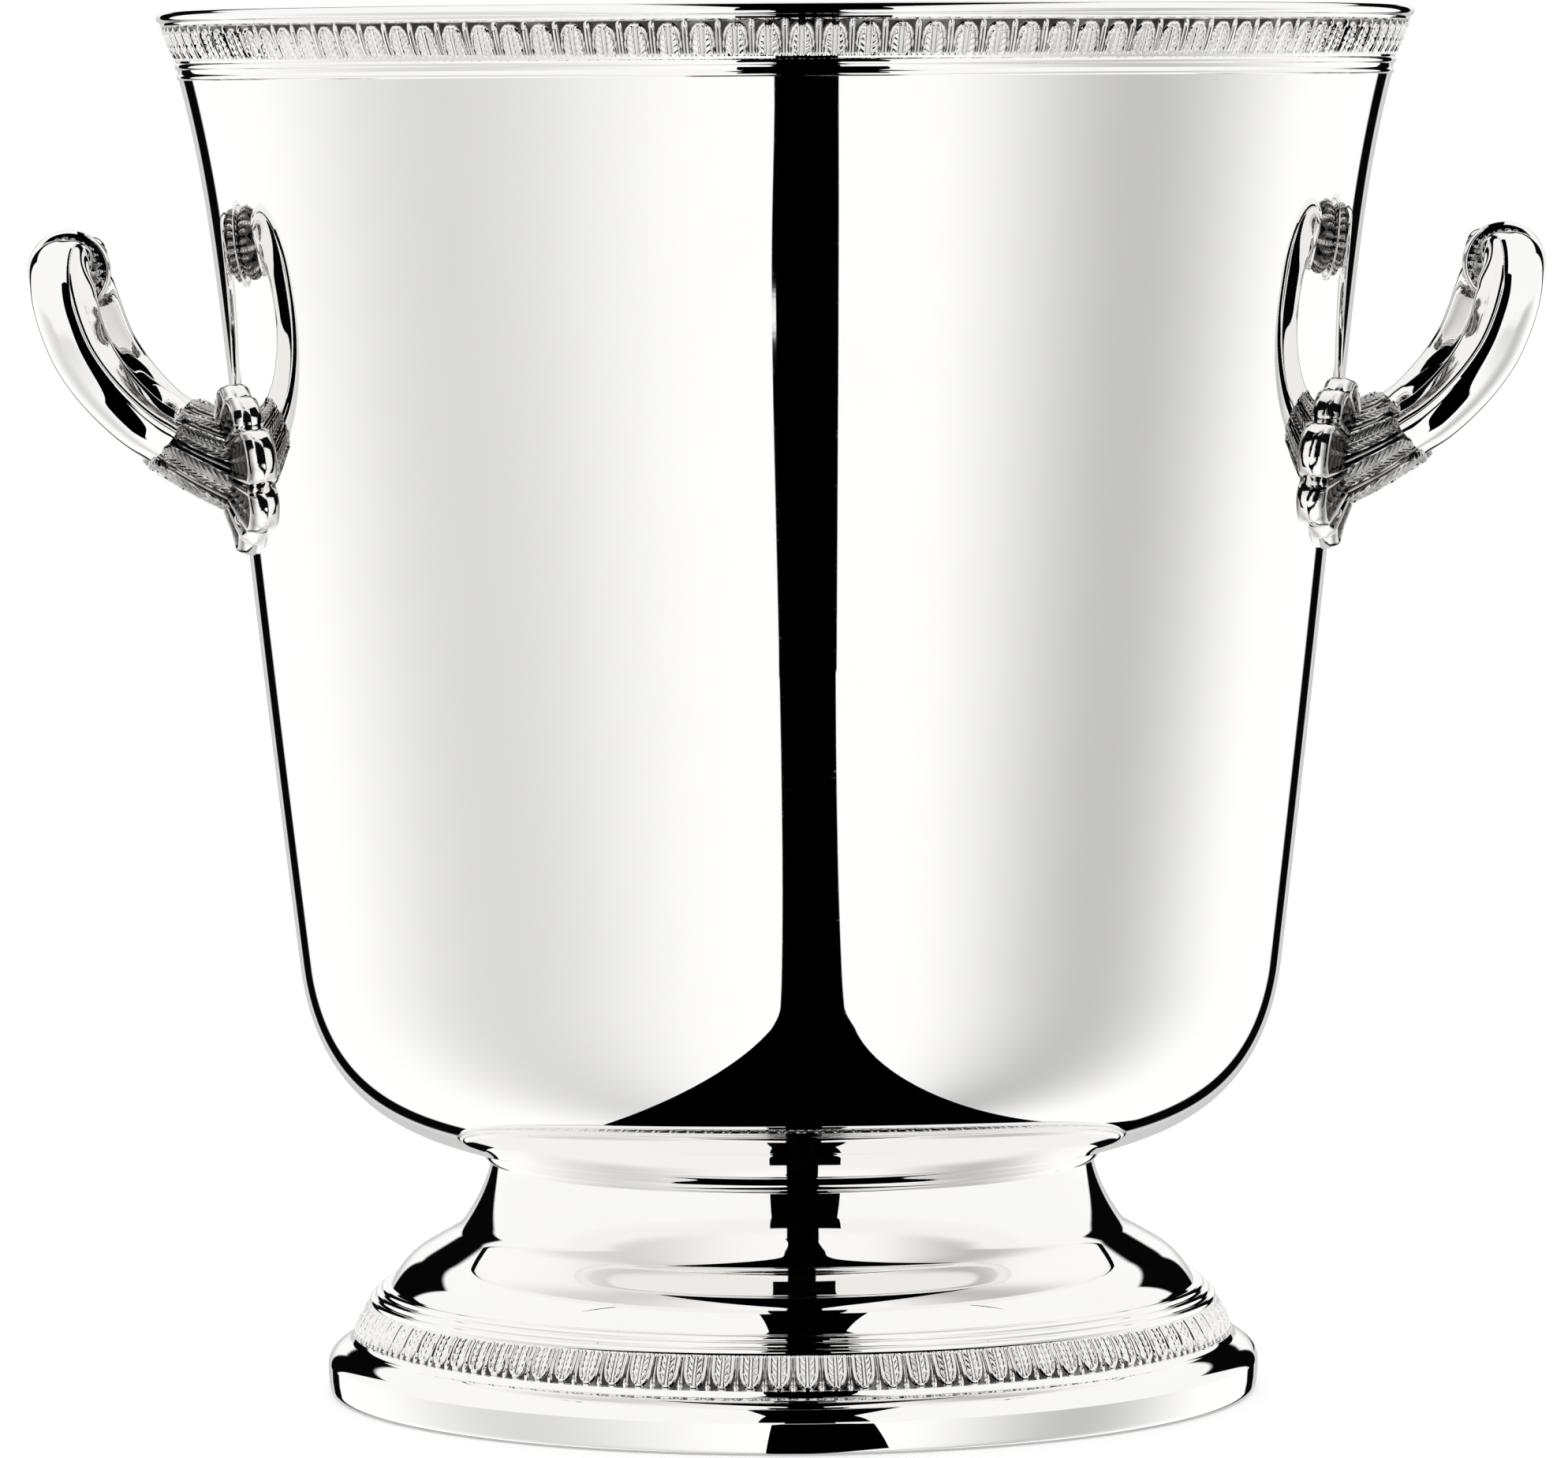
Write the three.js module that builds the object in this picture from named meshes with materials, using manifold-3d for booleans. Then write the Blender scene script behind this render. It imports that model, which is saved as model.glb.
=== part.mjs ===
// Silver champagne bucket: a raised bowl on a spun foot, with two cast loop handles.
// Units are millimetres, +Z is up, the axis of the bucket is the Z axis and the foot stands on z = 0.
import * as THREE from 'three';
import { mergeVertices } from 'three/addons/utils/BufferGeometryUtils.js';
import Module from 'manifold-3d';

const wasm = await Module();
wasm.setup();

// ---- driving dimensions ----
const TURNING_STEPS = 60;
const WALL = 1.4;
const FIT_GAP = 0.3;

// Profiles are drawn as [radius, height].
const SHOULDER = [83.73, 73.5];
const BOWL_FOOT_OUTER = [52.6, 40.8];
const BOWL_FOOT_INNER = [50.4, 39.4];
const BOWL_BOTTOM = [0, 36.2];
const SEAT_BOTTOM = [102.66, 223.6];
const SEAT_BACK = [102.0, 223.7];
const BAND_BACK_LOW = [102.8, 226.8];
const BAND_BACK_HIGH = [104.7, 233.0];
const SHEET_TOP = [103.3, 233.4];
const BAND_FACE_LOW = [103.25, 226.8];
const BAND_FACE_HIGH = [105.8, 232.8];

const STEM_TOP_Z = 39.3;
const STEM_TOP_R = 51.5;
const COVE_FOOT = [55.5, 30.0];
const DRUM_TOP = [62.9, 24.5];
const STEM_LEDGE = [68.7, 18.3];
const FLANGE_MIDDLE = [71.3, 14.9];
const FLANGE_END = [74.2, 9.4];
const FLANGE_END_INSIDE = [73.0, 8.8];
const REEDS_START = [69.3, 18.2];
const REEDS_END = [72.3, 15.3];
const REED_COUNT = 3;
const REED_HEIGHT = 0.42;
const FOOT_BAND_END = [75.2, 9.8];
const BASE_WIDEST = [79.5, 4.2];
const BASE_REST_OUTER = 78.3;
const BASE_REST_INNER = 76.4;
const FOOT_WALL = 1.3;

const FLAT_FACES = new THREE.Vector3(100, 35.5, 190);
const GRIP_X = 121.9;
const GRIP_Z = 191.4;
const GRIP_BAR_R = 4.0;
const GRIP_BAR_HALF = 15.0;
const DISC_R = 7.1;
const DISC_HALF = 0.9;
const COLLAR_LENGTH = 12.5;
const COLLAR_LOBES = 8;
const PLATE_AZIMUTH = 12 * Math.PI / 180;
const PLATE_Z = 159;
const PLATE_PROUD = 3.4;
const CALYX_LEAVES = 8;

// ---- materials ----
const silver = () => new THREE.MeshStandardMaterial({ color: 0xdedcd8, roughness: 0.06, metalness: 1 });
const castSilver = () => new THREE.MeshStandardMaterial({ color: 0xcfccc6, roughness: 0.16, metalness: 1 });

const vec = ([r, z]) => new THREE.Vector2(r, z);

function bezier(from, control1, control2, to, steps) {
  return new THREE.CubicBezierCurve(vec(from), vec(control1), vec(control2), vec(to)).getPoints(steps);
}

// Moves an open profile sideways by a distance, to its left as it is walked.
function offsetProfile(points, distance) {
  return points.map((point, i) => {
    const before = points[Math.max(i - 1, 0)];
    const after = points[Math.min(i + 1, points.length - 1)];
    const along = after.clone().sub(before).normalize();
    return new THREE.Vector2(Math.max(point.x - along.y * distance, 0), point.y + along.x * distance);
  });
}

// Turns a profile around Z. A profile that touches the axis is open; any other is closed on itself.
function turned(points) {
  const outline = [...points];
  const onAxis = outline[0].x < 1e-6 && outline[outline.length - 1].x < 1e-6;
  if (!THREE.ShapeUtils.isClockWise(outline)) {
    outline.reverse();
  }
  outline.reverse();
  if (!onAxis) {
    outline.push(outline[0].clone());
  }
  return new THREE.LatheGeometry(outline, TURNING_STEPS).rotateX(Math.PI / 2);
}

function named(name, geometry, material) {
  const mesh = new THREE.Mesh(geometry, material);
  mesh.name = name;
  return mesh;
}

function toSolid(geometry) {
  const bare = geometry.clone();
  bare.deleteAttribute('normal');
  bare.deleteAttribute('uv');
  const merged = mergeVertices(bare, 1e-4);
  return new wasm.Manifold(new wasm.Mesh({
    numProp: 3,
    vertProperties: new Float32Array(merged.attributes.position.array),
    triVerts: new Uint32Array(merged.index.array),
  }));
}

function fromSolid(solid) {
  const mesh = solid.getMesh();
  const geometry = new THREE.BufferGeometry();
  geometry.setAttribute('position', new THREE.BufferAttribute(mesh.vertProperties, 3));
  geometry.setIndex(new THREE.BufferAttribute(mesh.triVerts, 1));
  return geometry;
}

// ---- body: one raised sheet, from the bottom of the bowl to the rim ----
const bowlCurve = bezier(BOWL_FOOT_OUTER, [57.2, 43.9], [80.3, 43.8], SHOULDER, 8);
const wallCurve = bezier(SHOULDER, [96.6, 182], [95.9, 197], SEAT_BOTTOM, 7);

function bodyShell() {
  const bottom = bezier(BOWL_BOTTOM, [30, 36.2], [44, 36.4], BOWL_FOOT_INNER, 3);
  const smooth = [...bottom, ...bowlCurve, ...wallCurve.slice(1)];
  const rim = [SEAT_BACK, BAND_BACK_LOW, BAND_BACK_HIGH, SHEET_TOP].map(vec);
  const inside = offsetProfile(smooth, WALL);
  inside[0].set(0, BOWL_BOTTOM[1] + WALL);
  const insideRim = [new THREE.Vector2(BAND_BACK_LOW[0] - 1.1, BAND_BACK_LOW[1])];
  return turned([...smooth, ...rim, ...insideRim, ...inside.reverse()]);
}

function rimFilletRing() {
  const lowerBead = [[103.0, 223.9], [102.95, 224.35]];
  const upperBead = [[103.05, 225.4], [103.4, 225.8], [103.35, 226.4]];
  return turned([SEAT_BACK, SEAT_BOTTOM, ...lowerBead, ...upperBead, BAND_FACE_LOW, BAND_BACK_LOW].map(vec));
}

function rimPalmetteBand() {
  const face = bezier(BAND_FACE_LOW, [104.2, 228.0], [105.4, 231.2], BAND_FACE_HIGH, 3);
  return turned([vec(BAND_BACK_LOW), ...face, vec(BAND_BACK_HIGH)]);
}

function rimLip() {
  const roll = [[106.3, 233.5], [106.55, 234.3], [106.2, 234.95], [105.3, 235.2], [104.1, 235.1], [103.2, 234.5]];
  return turned([SHEET_TOP, BAND_BACK_HIGH, BAND_FACE_HIGH, ...roll].map(vec));
}

// ---- foot: a spun shell, with an applied reed ring and palmette band, on a turned base ----
function footJointRing() {
  const bead = [[52.3, 39.45], [52.75, 39.9], [52.85, 40.4]];
  return turned([BOWL_FOOT_INNER, [BOWL_FOOT_INNER[0], STEM_TOP_Z], [STEM_TOP_R, STEM_TOP_Z],
    ...bead, BOWL_FOOT_OUTER].map(vec));
}

function footStem() {
  const neck = bezier([STEM_TOP_R, STEM_TOP_Z], [52.15, 36.0], [53.42, 32.6], COVE_FOOT, 4);
  const cove = bezier(COVE_FOOT, [56.86, 28.3], [60.44, 25.9], DRUM_TOP, 3);
  const drum = bezier(DRUM_TOP, [65.28, 23.15], [66.94, 21.5], STEM_LEDGE, 3);
  const outside = [...neck, ...cove.slice(1), ...drum.slice(1), vec(FLANGE_MIDDLE), vec(FLANGE_END)];
  const inside = offsetProfile(outside, -FOOT_WALL);
  inside[0].set(STEM_TOP_R - FOOT_WALL + 0.2, STEM_TOP_Z);
  inside[inside.length - 1].set(...FLANGE_END_INSIDE);
  return turned([...outside, ...inside.reverse()]);
}

function footReedRing() {
  const start = vec(REEDS_START);
  const along = vec(REEDS_END).sub(start).divideScalar(REED_COUNT);
  const out = new THREE.Vector2(-along.y, along.x).normalize();
  const points = [vec(STEM_LEDGE)];
  for (let reed = 0; reed < REED_COUNT; reed += 1) {
    for (const share of [0, 0.3, 0.7]) {
      const height = share === 0 ? 0 : REED_HEIGHT;
      points.push(start.clone().addScaledVector(along, reed + share).addScaledVector(out, height));
    }
  }
  return turned([...points, vec(REEDS_END), vec(FLANGE_MIDDLE)]);
}

function footPalmetteBand() {
  const face = bezier(REEDS_END, [73.6, 13.8], [74.8, 11.6], FOOT_BAND_END, 3);
  return turned([vec(FLANGE_MIDDLE), ...face, vec(FLANGE_END)]);
}

function footBase() {
  const bulge = bezier(FOOT_BAND_END, [76.9, 8.4], [79.4, 7.0], BASE_WIDEST, 5);
  const side = [[79.4, 1.6], [79.0, 0.6], [BASE_REST_OUTER, 0], [BASE_REST_INNER, 0]];
  const inside = [[77.4, 1.4], [77.9, 4.0], [76.6, 6.3], [74.1, 8.0], FLANGE_END_INSIDE];
  return turned([vec(FLANGE_END), ...bulge, ...[...side, ...inside].map(vec)]);
}

// ---- handles, drawn at +X; lateral = -1 is the arm on the -Y side, +1 the arm on the +Y side ----
function armPath(lateral) {
  const points = [
    [104.6, 24.8, 164.2], [107.8, 26.2, 166.4], [111.5, 27.4, 169.8], [114.8, 27.9, 173.6],
    [117.6, 27.5, 177.8], [119.6, 26.4, 182.4], [120.9, 24.9, 186.7], [121.5, 22.1, 190.2],
    [121.8, 19.0, 191.7], [GRIP_X, GRIP_BAR_HALF + 3 * FIT_GAP, GRIP_Z],
  ];
  return new THREE.CatmullRomCurve3(points.map(([x, y, z]) => new THREE.Vector3(x, y * lateral, z)));
}

// The point that the flat inner face of an arm looks at.
function facedPoint(lateral) {
  return new THREE.Vector3(FLAT_FACES.x, FLAT_FACES.y * lateral, FLAT_FACES.z);
}

function calyxPath(lateral) {
  const start = armPath(lateral).getPointAt(0);
  const along = armPath(lateral).getTangentAt(0);
  const end = start.clone().addScaledVector(along, -FIT_GAP);
  const root = new THREE.Vector3(92.5, 19.6 * lateral, 158.4);
  return new THREE.QuadraticBezierCurve3(root, end.clone().addScaledVector(along, -5), end);
}

// Bends a turned bar along a path. radius(share, angle) gives the section; angle 0 faces the hub point.
function bar(path, hub, radius, rings, sides) {
  const profile = [new THREE.Vector2(0, 0)];
  for (let i = 0; i <= rings; i += 1) {
    profile.push(new THREE.Vector2(1, i / rings));
  }
  profile.push(new THREE.Vector2(0, 1));
  const geometry = new THREE.LatheGeometry(profile, sides);
  const position = geometry.attributes.position;
  for (let i = 0; i < position.count; i += 1) {
    const corner = new THREE.Vector3().fromBufferAttribute(position, i);
    const share = corner.y;
    const angle = Math.atan2(corner.z, corner.x);
    const size = Math.hypot(corner.x, corner.z) * radius(share, angle);
    const centre = path.getPointAt(share);
    const tangent = path.getTangentAt(share);
    const inward = hub.clone().sub(centre);
    inward.addScaledVector(tangent, -inward.dot(tangent)).normalize();
    const across = new THREE.Vector3().crossVectors(inward, tangent);
    const place = centre.addScaledVector(inward, size * Math.cos(angle)).addScaledVector(across, size * Math.sin(angle));
    position.setXYZ(i, place.x, place.y, place.z);
  }
  return geometry;
}

// The section of an arm is round outside; its inner half is squared off to a flat face.
function armRadius(share, angle) {
  const swell = 4.7 + 0.6 * THREE.MathUtils.smoothstep(share, 0.1, 0.95);
  const power = 4.5;
  const facing = Math.cos(angle);
  if (facing <= 0) {
    return swell;
  }
  return swell * ((facing / 0.9) ** power + Math.abs(Math.sin(angle)) ** power) ** (-1 / power);
}

function calyxRadius(share, angle) {
  const taper = 7.2 - 2.0 * share;
  return taper + 0.4 * Math.cos(CALYX_LEAVES * angle);
}

// Everything inside the wall's outer face moved out by a distance, over the height of the handles.
function wallPlug(distance) {
  const low = wallCurve.filter((point) => point.y > 110 && point.y < 212);
  const outside = low.map((point) => new THREE.Vector2(point.x + distance, point.y));
  const first = new THREE.Vector2(0, outside[0].y);
  const last = new THREE.Vector2(0, outside[outside.length - 1].y);
  return toSolid(turned([first, ...outside, last]));
}

// Outline of a palmette plate: a lobe on top, three lobes on each side and a pointed leaf below.
function plateOutline() {
  const lobes = [[90, 13.2], [51, 13.4], [8, 15.6], [-33, 15.8], [-90, 14.6], [-147, 15.8], [-188, 15.6], [-231, 13.4]];
  const valley = 0.82;
  const shape = new THREE.Shape();
  const at = (degrees, reach) => {
    const angle = degrees * Math.PI / 180;
    return new THREE.Vector2(Math.cos(angle) * reach, Math.sin(angle) * reach);
  };
  lobes.forEach(([degrees, reach], i) => {
    const [nextDegrees, nextReach] = i + 1 < lobes.length ? lobes[i + 1] : [lobes[0][0] - 360, lobes[0][1]];
    const step = (degrees - nextDegrees) / 2;
    const middle = degrees - step;
    const low = valley * (reach + nextReach) / 2;
    const startPoint = at(degrees, reach);
    const lowPoint = at(middle, low);
    const endPoint = at(nextDegrees, nextReach);
    const firstControl = at(degrees - step * 0.75, reach * 1.02);
    const secondControl = at(nextDegrees + step * 0.75, nextReach * 1.02);
    if (i === 0) {
      shape.moveTo(startPoint.x, startPoint.y);
    }
    shape.quadraticCurveTo(firstControl.x, firstControl.y, lowPoint.x, lowPoint.y);
    shape.quadraticCurveTo(secondControl.x, secondControl.y, endPoint.x, endPoint.y);
  });
  return shape;
}

function palmettePlate(lateral) {
  const depth = 40;
  const blank = new THREE.ExtrudeGeometry(plateOutline(), { depth, curveSegments: 3, bevelEnabled: false });
  blank.rotateY(Math.PI / 2).rotateX(Math.PI / 2);
  blank.translate(75, 0, PLATE_Z);
  blank.rotateZ(PLATE_AZIMUTH * lateral);
  const shell = wallPlug(FIT_GAP + PLATE_PROUD).subtract(wallPlug(FIT_GAP));
  return fromSolid(toSolid(blank).intersect(shell));
}

function calyx(lateral) {
  const solid = toSolid(bar(calyxPath(lateral), facedPoint(lateral), calyxRadius, 4, CALYX_LEAVES * 4));
  return fromSolid(solid.subtract(wallPlug(2 * FIT_GAP + PLATE_PROUD)));
}

function gripBar() {
  return new THREE.CylinderGeometry(GRIP_BAR_R, GRIP_BAR_R, 2 * GRIP_BAR_HALF, 24).translate(GRIP_X, 0, GRIP_Z);
}

function gripDisc() {
  const bore = GRIP_BAR_R + FIT_GAP;
  const profile = [[bore, -DISC_HALF], [DISC_R - 0.6, -DISC_HALF], [DISC_R, 0], [DISC_R - 0.6, DISC_HALF],
    [bore, DISC_HALF], [bore, -DISC_HALF]];
  return new THREE.LatheGeometry(profile.map(vec), 32).translate(GRIP_X, 0, GRIP_Z);
}

// A ring of leaves around the grip bar, between the disc and the arm.
function leafCollar(lateral) {
  const shape = new THREE.Shape();
  const corners = COLLAR_LOBES * 4;
  for (let i = 0; i < corners; i += 1) {
    const angle = i / corners * 2 * Math.PI;
    const reach = 5.5 + 0.6 * Math.cos(COLLAR_LOBES * angle);
    const corner = [reach * Math.cos(angle), reach * Math.sin(angle)];
    if (i === 0) {
      shape.moveTo(...corner);
    } else {
      shape.lineTo(...corner);
    }
  }
  const bore = new THREE.Path();
  bore.absarc(0, 0, GRIP_BAR_R + FIT_GAP, 0, 2 * Math.PI, true);
  shape.holes.push(bore);
  const geometry = new THREE.ExtrudeGeometry(shape, { depth: COLLAR_LENGTH, curveSegments: 8, bevelEnabled: false });
  geometry.rotateX(Math.PI / 2);
  const nearY = lateral > 0 ? DISC_HALF + FIT_GAP + COLLAR_LENGTH : -DISC_HALF - FIT_GAP;
  return geometry.translate(GRIP_X, nearY, GRIP_Z);
}

function handle(side) {
  const group = new THREE.Group();
  for (const lateral of [-1, 1]) {
    const place = (lateral < 0) === (side === 'right') ? 'front' : 'rear';
    const arm = bar(armPath(lateral), facedPoint(lateral), armRadius, 16, 16);
    group.add(
      named(`${side}_${place}_palmette_plate`, palmettePlate(lateral), castSilver()),
      named(`${side}_${place}_calyx`, calyx(lateral), castSilver()),
      named(`${side}_${place}_arm`, arm, silver()),
      named(`${side}_${place}_leaf_collar`, leafCollar(lateral), castSilver()),
    );
  }
  group.add(
    named(`${side}_grip_bar`, gripBar(), silver()),
    named(`${side}_grip_disc`, gripDisc(), castSilver()),
  );
  return group;
}

const bucket = new THREE.Group();
bucket.add(
  named('body_shell', bodyShell(), silver()),
  named('rim_fillet_ring', rimFilletRing(), silver()),
  named('rim_palmette_band', rimPalmetteBand(), castSilver()),
  named('rim_lip', rimLip(), silver()),
  named('foot_joint_ring', footJointRing(), silver()),
  named('foot_stem', footStem(), silver()),
  named('foot_reed_ring', footReedRing(), silver()),
  named('foot_palmette_band', footPalmetteBand(), castSilver()),
  named('foot_base', footBase(), silver()),
);

const rightHandle = handle('right');
const leftHandle = handle('left');
leftHandle.rotation.z = Math.PI;
bucket.add(rightHandle, leftHandle);

export default bucket;
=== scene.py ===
"""A silver champagne bucket: fine turned pieces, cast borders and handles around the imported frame."""

import math

import bpy
import numpy as np
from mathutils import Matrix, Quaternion, Vector


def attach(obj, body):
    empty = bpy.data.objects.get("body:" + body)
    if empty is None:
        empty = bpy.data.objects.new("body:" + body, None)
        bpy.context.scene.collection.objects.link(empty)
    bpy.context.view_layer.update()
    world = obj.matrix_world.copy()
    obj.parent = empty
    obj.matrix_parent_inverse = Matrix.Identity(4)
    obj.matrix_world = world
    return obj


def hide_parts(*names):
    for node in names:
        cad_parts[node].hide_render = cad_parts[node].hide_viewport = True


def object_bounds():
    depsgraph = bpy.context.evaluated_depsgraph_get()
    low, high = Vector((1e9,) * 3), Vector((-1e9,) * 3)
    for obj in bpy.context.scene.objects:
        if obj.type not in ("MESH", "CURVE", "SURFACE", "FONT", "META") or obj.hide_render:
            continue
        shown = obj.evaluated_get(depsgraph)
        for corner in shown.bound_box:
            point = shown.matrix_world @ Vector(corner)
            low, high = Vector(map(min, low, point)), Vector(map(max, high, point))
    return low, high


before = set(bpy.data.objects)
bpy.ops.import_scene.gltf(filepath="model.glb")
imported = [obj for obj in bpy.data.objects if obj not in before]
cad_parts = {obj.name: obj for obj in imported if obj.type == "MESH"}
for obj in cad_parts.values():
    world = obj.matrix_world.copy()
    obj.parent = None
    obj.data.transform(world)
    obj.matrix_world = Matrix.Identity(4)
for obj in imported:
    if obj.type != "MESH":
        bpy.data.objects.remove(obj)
cad_low, cad_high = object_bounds()

MM = 0.001
TAU = 2 * math.pi
TURN_STEPS = 384
AXIS_RADIUS = 0.02  # where a profile that reaches the axis starts, so that a fan can close it


# ---- curves and meshes ----
def bezier(p0, p1, p2, p3, steps):
    """Points on a cubic curve from p0 to p3."""
    t = np.linspace(0, 1, steps + 1)[:, None]
    p0, p1, p2, p3 = (np.array(p, float) for p in (p0, p1, p2, p3))
    return (1 - t) ** 3 * p0 + 3 * (1 - t) ** 2 * t * p1 + 3 * (1 - t) * t**2 * p2 + t**3 * p3


def arc(centre, radius, start, end, steps):
    """Points on an arc, angles in degrees."""
    a = np.radians(np.linspace(start, end, steps + 1))
    return np.stack([centre[0] + radius * np.cos(a), centre[1] + radius * np.sin(a)], 1)


def join(*parts):
    """One profile from several, without repeated points."""
    points = [np.array(parts[0], float).reshape(-1, 2)]
    for part in parts[1:]:
        part = np.array(part, float).reshape(-1, 2)
        if np.linalg.norm(part[0] - points[-1][-1]) < 1e-4:
            part = part[1:]
        points.append(part)
    return np.concatenate(points)


def offset(points, distance):
    """An open profile moved to the left of its direction by a distance."""
    along = np.gradient(points, axis=0)
    along /= np.linalg.norm(along, axis=1)[:, None]
    moved = points + distance * np.stack([-along[:, 1], along[:, 0]], 1)
    moved[:, 0] = np.maximum(moved[:, 0], 0)
    return moved


def smooth(low, high, value):
    """0 at low, 1 at high, smooth between and level beyond. Low may be the greater."""
    t = np.clip((value - low) / (high - low), 0, 1)
    return t * t * (3 - 2 * t)


def ridge(value, centre, half):
    """A rounded ridge, 1 at the centre and 0 at half away."""
    return np.clip(1 - ((value - centre) / half) ** 2, 0, 1)


def skin(name, grid, wrap=False, sharp=35.0, recess=None):
    """A closed mesh from rows of points; each row is a ring.
    The rows wrap too, or the end rows are closed by a fan."""
    rows, columns, _ = grid.shape
    points = grid.reshape(-1, 3) * MM
    i = np.arange(rows if wrap else rows - 1)
    j = np.arange(columns)
    a = (i[:, None] * columns + j[None, :]).ravel()
    b = (i[:, None] * columns + (j[None, :] + 1) % columns).ravel()
    c = (((i[:, None] + 1) % rows) * columns + (j[None, :] + 1) % columns).ravel()
    d = (((i[:, None] + 1) % rows) * columns + j[None, :]).ravel()
    faces = [np.stack([a, b, c, d], 1)]
    fans = []
    if not wrap:
        for row, turn in ((0, False), (rows - 1, True)):
            centre = len(points)
            points = np.vstack([points, grid[row].mean(0) * MM])
            ring = row * columns + j
            after = row * columns + (j + 1) % columns
            middle = np.full(columns, centre)
            fans.append(np.stack([middle, ring, after] if turn else [middle, after, ring], 1))
    loops = np.concatenate([f.ravel() for f in faces + fans])
    sizes = np.concatenate([np.full(len(f), f.shape[1]) for f in faces + fans])
    mesh = bpy.data.meshes.new(name)
    mesh.vertices.add(len(points))
    mesh.vertices.foreach_set("co", points.astype(np.float32).ravel())
    mesh.loops.add(len(loops))
    mesh.loops.foreach_set("vertex_index", loops.astype(np.int32))
    mesh.polygons.add(len(sizes))
    starts = np.concatenate([[0], np.cumsum(sizes)[:-1]])
    mesh.polygons.foreach_set("loop_start", starts.astype(np.int32))
    mesh.update(calc_edges=True)
    mesh.validate()
    if volume(mesh) < 0:
        mesh.flip_normals()
    mesh.shade_smooth()
    mesh.set_sharp_from_angle(angle=math.radians(sharp))
    if recess is not None:
        depth = np.zeros(len(points), np.float32)
        depth[: rows * columns] = recess.ravel()
        mesh.attributes.new("recess", "FLOAT", "POINT").data.foreach_set("value", depth)
    obj = bpy.data.objects.new(name, mesh)
    bpy.context.scene.collection.objects.link(obj)
    return obj


def volume(mesh):
    """Signed volume of a closed mesh."""
    mesh.calc_loop_triangles()
    co = np.zeros(len(mesh.vertices) * 3)
    mesh.vertices.foreach_get("co", co)
    co = co.reshape(-1, 3)
    tri = np.zeros(len(mesh.loop_triangles) * 3, np.int32)
    mesh.loop_triangles.foreach_get("vertices", tri)
    a, b, c = (co[tri.reshape(-1, 3)[:, k]] for k in range(3))
    return float(np.einsum("ij,ij->i", a, np.cross(b, c)).sum() / 6)


def lathe(name, profile, steps=TURN_STEPS, sharp=35.0):
    """A closed profile [radius, height] turned round the Z axis.
    One that starts and ends on the axis is closed there."""
    profile = np.array(profile, float)
    on_axis = profile[0, 0] < 1e-6 and profile[-1, 0] < 1e-6
    if on_axis:
        profile[0, 0] = profile[-1, 0] = AXIS_RADIUS
    angle = np.arange(steps) / steps * TAU
    grid = np.stack(
        [
            profile[:, 0, None] * np.cos(angle),
            profile[:, 0, None] * np.sin(angle),
            np.repeat(profile[:, 1, None], steps, 1),
        ],
        2,
    )
    return skin(name, grid, wrap=not on_axis, sharp=sharp)


def place(obj, material, slot, *nodes):
    """Give a piece its material, hang it under the root body and hide the CAD nodes it stands for. The slot
    is not used.
    """
    obj.data.materials.append(material)
    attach(obj, "root")
    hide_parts(*nodes)
    return obj


# ---- materials ----
class Nodes:
    """Small helper to write node trees."""

    def __init__(self, tree):
        self.tree = tree
        tree.nodes.clear()

    def add(self, kind, inputs=None, **settings):
        node = self.tree.nodes.new(kind)
        for key, value in settings.items():
            setattr(node, key, value)
        for key, value in (inputs or {}).items():
            socket = node.inputs[key]
            if isinstance(value, bpy.types.NodeSocket):
                self.tree.links.new(value, socket)
            else:
                socket.default_value = value
        return node

    def math(self, operation, a, b=0.0, c=0.0, clamp=False):
        node = self.add("ShaderNodeMath", {0: a, 1: b, 2: c}, operation=operation, use_clamp=clamp)
        return node.outputs[0]

    def step(self, value, low, high):
        """0 at low, 1 at high, smooth between and level beyond. Low may be the greater."""
        node = self.add(
            "ShaderNodeMapRange",
            {"Value": value, "From Min": low, "From Max": high},
            interpolation_type="SMOOTHSTEP",
        )
        return node.outputs["Result"]

    def ramp(self, value, stops):
        node = self.add("ShaderNodeValToRGB", {0: value})
        elements = node.color_ramp.elements
        while len(elements) > 1:
            elements.remove(elements[-1])
        elements[0].position = stops[0][0]
        elements[0].color = tuple(stops[0][1]) + (1,)
        for position, color in stops[1:]:
            elements.new(position).color = tuple(color) + (1,)
        return node


WHITE = (1, 1, 1, 1)
SILVER = (0.945, 0.938, 0.925)
SILVER_WARM = (0.935, 0.928, 0.914, 1)
SILVER_COOL = (0.955, 0.949, 0.938, 1)
CLOUD_ROUGHNESS = 0.02
MARK_ROUGHNESS = 0.05
MARKS_FROM, MARKS_TO = 0.62, 0.78
PATCHINESS = 0.5
RECESS_ROUGHNESS = 0.1


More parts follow.
